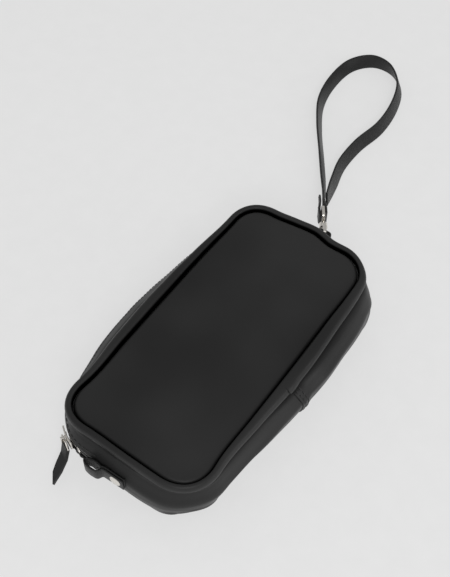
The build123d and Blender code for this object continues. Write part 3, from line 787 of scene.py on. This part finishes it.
def top_line(t, u):
    """The top seam's line, moved u outwards."""
    return seam_line(t, np.full(len(t), u))


def base_line(t, u):
    """The base seam's line, moved u outwards."""
    return round_loop(t, u - base_inset(t))[0]


def base_height(x, y, inset):
    """The base panel: flat on the ground, turned up into its seam."""
    return BASE_Z + TURN_UP * np.clip(1 - inset / TURN_WIDE, 0, 1) ** 2.2


def top_panel():
    """The top panel, with its rings close together where it rolls into the seam."""
    insets = np.array([0.02, 0.06, 0.15, 0.3, 0.5, 0.8, 1.2, 1.7, 2.3, 3, 4, 5.5, 7.5, 9.5, 11.5, 13])
    return panel_piece("top_panel_leather", insets, top_line, panel_height, SHEET, True)


def base_panel():
    """The base panel. Its rings stop before the tight near right corner would make them cross."""
    insets = np.array([0.0, 0.3, 0.7, 1.2, 1.9, 2.8, 4.0, 5.5, 7.0, 8.5, 10.0])
    return panel_piece("base_panel_leather", insets, base_line, base_height, BASE_SHEET, False)


# Heights of the seams' raw edges inside the bag
TOP_EDGE_Z = 43.2
BASE_EDGE_Z = 11.6


def binding_ring(name, z_edge, direction, line):
    """The woven tape that wraps a seam's raw edges. direction is 1 where the seam is above."""
    t = steps(0, LOOP, 2.4)[:-1]
    half, long = 2.2, 4.6
    outline = []
    for a in np.radians(np.arange(0, 181, 30)):
        outline.append((half * math.cos(a), -direction * (half * math.sin(a))))
    outline = [(half, direction * long)] + outline + [(-half, direction * long)]
    outline += [(-0.2, direction * (long - 0.4)), (0.2, direction * (long - 0.4))]
    plan = [line(t, u) for u, _ in outline]
    rings = np.stack([np.concatenate([p, np.full((len(t), 1), z_edge + dz)], 1)
                      for p, (_, dz) in zip(plan, outline)], 1)
    n = len(outline)
    faces = []
    for i in range(len(t)):
        j = (i + 1) % len(t)
        for k in range(n):
            faces.append((i * n + k, i * n + (k + 1) % n, j * n + (k + 1) % n, j * n + k)[::direction])
    return new_object(name, rings.reshape(-1, 3), faces, [BINDING])


def across_hinge(piece):
    """Bakes a piece on the flap's side into its mesh where it stands."""
    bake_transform(piece)


def build_leather():
    """Every leather sheet and binding; those off the flap go on the bag's body, and the CAD nodes each
    stands for are hidden.
    """
    upper = gusset_piece("zip_strip_upper_leather", T_NEAR_ZIP, T_FAR_ZIP, None, ZIP_Z + SLOT_HALF)
    across_hinge(upper)
    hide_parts("zip_strip_upper")
    lower = gusset_piece("zip_strip_lower_leather", T_NEAR_ZIP, T_FAR_ZIP, ZIP_Z - SLOT_HALF, None)
    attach(lower, "bag")
    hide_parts("zip_strip_lower")
    far = gusset_piece("gusset_far_leather", T_FAR_ZIP, T_LAP, None, None, over=1)
    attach(far, "bag")
    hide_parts("gusset_far")
    near = gusset_piece("gusset_near_leather", T_LAP, T_NEAR_ZIP + LOOP, None, None, over=-1)
    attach(near, "bag")
    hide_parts("gusset_near")
    top = top_panel()
    across_hinge(top)
    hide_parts("top_panel", "top_panel_flap")
    base = base_panel()
    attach(base, "bag")
    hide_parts("bottom_panel")
    ring = binding_ring("seam_binding_top_tape", TOP_EDGE_Z, 1, top_line)
    across_hinge(ring)
    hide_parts("seam_binding_top", "seam_binding_flap")
    low = binding_ring("seam_binding_base_tape", BASE_EDGE_Z, -1, base_line)
    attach(low, "bag")
    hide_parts("seam_binding_base")


# ---------------------------------------------------------------- the zip
def wall_frame(t, z, depth):
    """A place in the wall, depth below the leather's face: centre, along, up and out directions."""
    wall = OUTSIDE[::-1]
    u = np.interp(z, wall[:, 1], wall[:, 0])
    here = skin_point(t, u, z)
    ahead = skin_point(t + 0.5, u, z) - skin_point(t - 0.5, u, z)
    above_u = np.interp(z + 0.5, wall[:, 1], wall[:, 0])
    below_u = np.interp(z - 0.5, wall[:, 1], wall[:, 0])
    rise = skin_point(t, above_u, z + 0.5) - skin_point(t, below_u, z - 0.5)
    along = ahead / np.linalg.norm(ahead, axis=-1, keepdims=True)
    up = rise - along * np.sum(rise * along, -1, keepdims=True)
    up /= np.linalg.norm(up, axis=-1, keepdims=True)
    out = np.cross(up, along)
    _, level = round_loop(t, np.zeros(np.shape(t)))
    sign = np.sign(np.sum(out[..., :2] * level, -1))[..., None]
    out = out * sign
    return here - out * depth, along, up, out


# Places along the seam loop. The chain runs outside the seam, so on a corner it is stretched.
T_SLIDER = KNOTS[1] + (90 - SLIDER_ANGLE) / 90 * QUARTER
SLIDER_SPAN = SLIDER_LONG / CHAIN_STRETCH
T_CHAIN = T_SLIDER - 1.1 / CHAIN_STRETCH
T_TOP_STOP = T_SLIDER - SLIDER_SPAN / 2 - 3.7
T_CHAIN_END = T_FAR_ZIP - 2.0
STITCH_HIGH = 0.42
STITCH_BEVEL = 0.16


def zip_tape(name, side):
    """The woven tape behind the leather, above (1) or below (-1) the chain."""
    t = steps(T_NEAR_ZIP + 0.3, T_FAR_ZIP - 0.3, 1.8)
    reach = np.concatenate([[0.95, 1.5, 2.4], np.linspace(3.5, TAPE_REACH, 8)])
    t_grid, z_grid = np.broadcast_arrays(t[:, None], ZIP_Z + side * reach[None, :])
    points = wall_frame(t_grid, z_grid, LEATHER + 0.12)[0]
    return sheet_mesh(name, points, TAPE, [WOVEN, WOVEN], flip=side > 0)


def teeth_row(name, side):
    """Cast teeth clamped on the tape's edge, offset half a pitch from the other row.

    The upper row leaves out the teeth inside the slider, as the CAD does.
    """
    template = bevelled((1.35, 3.6, 2.3), 0.22)
    places = []
    t = T_CHAIN + (UPPER_START * TOOTH_PITCH if side > 0 else 0) / CHAIN_STRETCH
    while t < T_CHAIN_END:
        places.append(wall_frame(np.array(t), np.array(ZIP_Z + side * 1.15), CHAIN_DEPTH))
        on_corner = KNOTS[1] < t % LOOP < KNOTS[2] or KNOTS[3] < t % LOOP < KNOTS[4]
        t += TOOTH_PITCH / CHAIN_STRETCH if on_corner else TOOTH_PITCH
    return scatter(name, template, places, [TEETH])


def zip_stop(name, t, side):
    """A stop crimped on one tape at the end of the chain."""
    template = bevelled((2.2, 3.4, 2.5), 0.35)
    place = wall_frame(np.array(t), np.array(ZIP_Z + side * 1.9), CHAIN_DEPTH)
    return scatter(name, template, [place], [NICKEL])


def stitch_row(name, side):
    """A line of topstitching along the leather above (1) or below (-1) the zip."""
    template = bevelled((2.3, 0.55, STITCH_HIGH), STITCH_BEVEL)
    z = np.array(ZIP_Z + side * (SLOT_HALF + 2.4))
    places = [wall_frame(np.array(t), z, -0.12) for t in np.arange(T_NEAR_ZIP + 2.0, T_FAR_ZIP - 2.0, 3.1)]
    row = scatter(name, template, places, [THREAD])
    if side > 0:
        across_hinge(row)
    else:
        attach(row, "bag")


def build_zip():
    """Tapes, teeth, stops and topstitching on both sides of the chain."""
    for side, word in ((1, "upper"), (-1, "lower")):
        tape = zip_tape("zip_tape_" + word + "_weave", side)
        row = teeth_row("zip_teeth_" + word + "_cast", side)
        stop = zip_stop("zip_top_stop_" + word + "_cast", T_TOP_STOP, side)
        for piece in (tape, row, stop):
            if side > 0:
                across_hinge(piece)
            else:
                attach(piece, "bag")
        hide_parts("zipper_tape_" + word)
        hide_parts("zipper_teeth_" + word)
        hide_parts("zipper_top_stop_" + word)
        stitch_row("zip_topstitch_" + word, side)
    end = zip_stop("zip_bottom_stop_cast", T_FAR_ZIP - 1.6, -1)
    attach(end, "bag")
    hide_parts("zipper_bottom_stop")


def build_lap_stitches():
    """Two rows of thread down the lap seam, beside the upper piece's edge."""
    template = bevelled((0.5, 2.3, STITCH_HIGH), STITCH_BEVEL)
    places = []
    for row in (0, 1):
        for z in np.arange(9.0, 47.0, 3.3):
            edge = lap_line(z) + LAP_WIDE / 2 - 2.2 - 3.2 * row
            places.append(wall_frame(np.array(edge), np.array(z), -0.1 - LAP_LIFT))
    stitches = scatter("gusset_lap_thread", template, places, [THREAD])
    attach(stitches, "bag")
    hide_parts("gusset_lap_stitches")


# ---------------------------------------------------------------- slider, puller and hook metal
# How far sharp edges are eased
FINE_EDGE = 0.1
SOFT_EDGE = 0.28
PULLER_EDGE = 0.3


def build_metal():
    """The metal parts with their edges eased, each on its own moving body."""
    pieces = {"slider": ("slider_body", "slider_bail"), "puller": ("puller_link",),
              "hook": ("hook_body", "gate_pin"), "gate": ("hook_gate",), "eye": ("swivel_eye",),
              "bag": ("near_rivet", "far_rivet")}
    for body, nodes in pieces.items():
        for node in nodes:
            width = FINE_EDGE if node in ("gate_pin", "near_rivet", "far_rivet") else SOFT_EDGE
            piece = softened(node, NICKEL_CAD, width)
            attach(piece, body)


def build_puller():
    """The leather puller: two layers glued back to back, kinked, with an angled end."""
    piece = softened("leather_puller", STRAP_GRAIN, PULLER_EDGE)
    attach(piece, "puller")


# ---------------------------------------------------------------- loop tabs
LOOP_FLAT = 0.4
# Each tab's end of the bag, CAD box and loop's half length
TABS = (("near", -1, NEAR_TAB_LOW, NEAR_TAB_HIGH, 8.2), ("far", 1, FAR_TAB_LOW, FAR_TAB_HIGH, 8.6))


def tab_path(x_tail, x_loop, half, deep, y_wall, height, end):
    """A strip's middle line: out along the wall, round a teardrop loop and back."""
    middle = LEATHER / 2
    y_in = y_wall + middle
    y_out = y_wall + 3 * middle + 0.1
    y_mid = y_wall + deep / 2 - LOOP_FLAT
    reach = half - middle
    depth = deep / 2 - middle - LOOP_FLAT
    neck = x_loop + half * 0.95
    between = x_tail * 0.6 + neck * 0.4
    route = [(x_tail, y_out), (between, y_out), (neck + 2.0, y_out), (neck - 1.2, y_out + 0.5)]
    for a in np.radians([52, 80, 108, 138, 180, 222, 252, 280, 312]):
        route.append((x_loop + reach * math.cos(a), y_mid + depth * math.sin(a)))
    route += [(neck - 1.0, y_in + 0.1), (neck + 2.0, y_in), (between, y_in), (x_tail, y_in)]
    line = curve_through(route, 150)
    return np.stack([line[:, 0], line[:, 1] * end, np.full(len(line), height)], -1)


def build_tabs():
    """The riveted tab at each end."""
    for word, end, low, high, half in TABS:
        wide = high[2] - low[2]
        y_wall = min(abs(low[1]), abs(high[1]))
        deep = abs(high[1] - low[1])
        path = tab_path(high[0], low[0] + half, half, deep, y_wall, (high[2] + low[2]) / 2, end)
        tab = ribbon(word + "_tab_leather", path, np.array([0, 0, 1.0]), wide, LEATHER - 0.1,
                     [GRAIN, FLESH], outer=-end)
        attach(tab, "bag")
        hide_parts(word + "_loop_tab")


# ---------------------------------------------------------------- wrist strap
# The band's route repeats the CAD's, with the hook's place and direction that it starts from
STRAP_WIDE = 12.7
STRAP_THICK = 1.8
STRAP_LEAN = np.array([-0.46, 0.045, 0.89])
HOOK = np.array([2.2, 130.6, 25.6])
HOOK_ANGLE = math.radians(125.0)
HOOK_ALONG = np.array([math.cos(HOOK_ANGLE), math.sin(HOOK_ANGLE), 0.0])
HOOK_LEFT = np.array([-HOOK_ALONG[1], HOOK_ALONG[0], 0.0])
LEAN_FROM_Y = 156.0
LEAN_TO_Y = 205.0
EYE_BAR_S = 25.5
FOLD_S = 21.0
FOLD_R = 2.6
NECK_END = (-23.5, 166.3, 18.3)
NECK_LEFT = (-19.3, 159.2, 21.5)
LOOP_ROUTE = [
    (-17.0, 162.0, 21.0), (-23.3, 172.0, 16.2), (-30.0, 184.0, 10.8), (-40.5, 200.5, 7.2),
    (-56.0, 223.0, 6.3), (-75.2, 250.5, 6.3), (-89.7, 276.9, 6.3), (-95.6, 305.6, 6.3),
    (-93.4, 333.8, 6.3), (-79.5, 351.2, 6.3), (-59.7, 350.6, 6.3), (-42.5, 334.0, 6.3),
    (-33.5, 308.0, 6.3), (-31.0, 279.0, 6.3), (-35.5, 250.0, 6.3), (-35.2, 222.8, 6.6),
    (-28.8, 198.5, 9.0), (-20.9, 173.4, 15.8),
]


def strap_route():
    """The band's middle line from its sewn end, round the eye's bar and round the hand loop."""
    def at(s, side):
        return HOOK + HOOK_ALONG * s + HOOK_LEFT * side

    r = FOLD_R
    fold = [at(EYE_BAR_S + 1.5, r), at((EYE_BAR_S + FOLD_S) / 2, r), at(FOLD_S, r),
            at(FOLD_S - r * 0.71, r * 0.71), at(FOLD_S - r, 0), at(FOLD_S - r * 0.71, -r * 0.71),
            at(FOLD_S, -r), at((EYE_BAR_S + FOLD_S) / 2, -r), at(EYE_BAR_S + 1.5, -r)]
    return [np.array(NECK_END), np.array(NECK_LEFT)] + fold + [np.array(p) for p in LOOP_ROUTE]


def build_strap():
    """The band, upright in the eye and leaning where it lies, and the stitches at its neck."""
    path = curve_through(strap_route(), 900)
    blend = smooth(LEAN_FROM_Y, LEAN_TO_Y, path[:, 1])[:, None]
    up = np.array([0, 0, 1.0]) * (1 - blend) + STRAP_LEAN * blend
    strap = ribbon("wrist_strap_leather", path, up, STRAP_WIDE, STRAP_THICK, [STRAP_GRAIN, STRAP_FLESH],
                   outer=-1.0)
    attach(strap, "strap")
    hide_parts("wrist_strap")
    template = bevelled((1.9, 0.6, 0.45), STITCH_BEVEL)
    length = np.sum(np.linalg.norm(np.diff(path, axis=0), axis=1))
    tangent = np.gradient(path, axis=0)
    tangent /= np.linalg.norm(tangent, axis=1, keepdims=True)
    places = []
    for row in (-1, 1):
        for k in range(3):
            i = int((2.0 + 2.6 * k) / length * len(path))
            wide = up[i] - tangent[i] * up[i].dot(tangent[i])
            wide /= np.linalg.norm(wide)
            thick = -np.cross(wide, tangent[i])
            places.append((path[i] + wide * row * 4.6 + thick * 1.0, tangent[i], wide, thick))
    stitches = scatter("strap_neck_stitches", template, places, [THREAD])
    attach(stitches, "strap")
    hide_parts("strap_stitches")


# ---------------------------------------------------------------- floor, light and camera
# In metres, and degrees for the camera
FLOOR_HALF = 6.0
FLOOR_GLOW = 0.58
WORLD_GLOW = 0.42
LIGHT_TARGET = (0, 0.0, 0.03)
CAMERA_LENS = 64.24
CAMERA_TARGET = (-0.0435, 0.062, 0)
CAMERA_AZIMUTH = 35.0
CAMERA_ELEVATION = 53.0
CAMERA_DISTANCE = 0.8


def build_stage():
    """A pale sheet that glows a little, a white world and two soft lights."""
    mesh = bpy.data.meshes.new("floor")
    corners = [(x * FLOOR_HALF, y * FLOOR_HALF, 0) for x, y in ((-1, -1), (1, -1), (1, 1), (-1, 1))]
    mesh.from_pydata(corners, [], [(0, 1, 2, 3)])
    floor = bpy.data.objects.new("floor", mesh)
    bpy.context.scene.collection.objects.link(floor)
    material, nodes, links, shader = node_tree("floor_paper")
    fibre = noise_node(nodes, links, nodes.new("ShaderNodeTexCoord").outputs["Object"], 60.0, 3.0)
    links.new(ramp(nodes, links, fibre, [(0.3, grey(0.29)), (0.7, grey(0.31))]), shader.inputs["Base Color"])
    shader.inputs["Roughness"].default_value = 0.9
    shader.inputs["Specular IOR Level"].default_value = 0.0
    shader.inputs["Emission Color"].default_value = (1, 1, 1, 1)
    shader.inputs["Emission Strength"].default_value = FLOOR_GLOW
    mesh.materials.append(material)

    world = bpy.data.worlds.new("studio")
    world.use_nodes = True
    background = world.node_tree.nodes["Background"]
    background.inputs["Color"].default_value = (1, 1, 1, 1)
    background.inputs["Strength"].default_value = WORLD_GLOW
    bpy.context.scene.world = world
    add_light("window", (0.75, -0.95, 1.15), 0.7, 7.5)
    add_light("right_fill", (1.6, 0.5, 0.5), 0.8, 3.0)
    bpy.context.scene.view_settings.view_transform = "Standard"
    bpy.context.scene.view_settings.look = "None"


def add_light(name, place, size, power):
    """A round soft light that faces the bag."""
    light = bpy.data.lights.new(name, "AREA")
    light.shape = "DISK"
    light.size = size
    light.energy = power
    obj = bpy.data.objects.new(name, light)
    obj.location = place
    obj.rotation_euler = (Vector(LIGHT_TARGET) - Vector(place)).to_track_quat("-Z", "Y").to_euler()
    bpy.context.scene.collection.objects.link(obj)


def build_camera():
    """The camera looks down on the bag from beyond its near right corner."""
    camera = bpy.data.cameras.new("camera")
    camera.sensor_fit = "VERTICAL"
    camera.sensor_height = 36.0
    camera.lens = CAMERA_LENS
    obj = bpy.data.objects.new("camera", camera)
    azimuth = math.radians(CAMERA_AZIMUTH)
    elevation = math.radians(CAMERA_ELEVATION)
    level = math.cos(elevation)
    back = Vector((math.sin(azimuth) * level, -math.cos(azimuth) * level, math.sin(elevation)))
    obj.location = Vector(CAMERA_TARGET) + back * CAMERA_DISTANCE
    obj.rotation_euler = back.to_track_quat("Z", "Y").to_euler()
    bpy.context.scene.collection.objects.link(obj)
    bpy.context.scene.camera = obj


build_leather()
build_zip()
build_metal()
build_puller()
build_tabs()
build_strap()
build_lap_stitches()
build_stage()
build_camera()
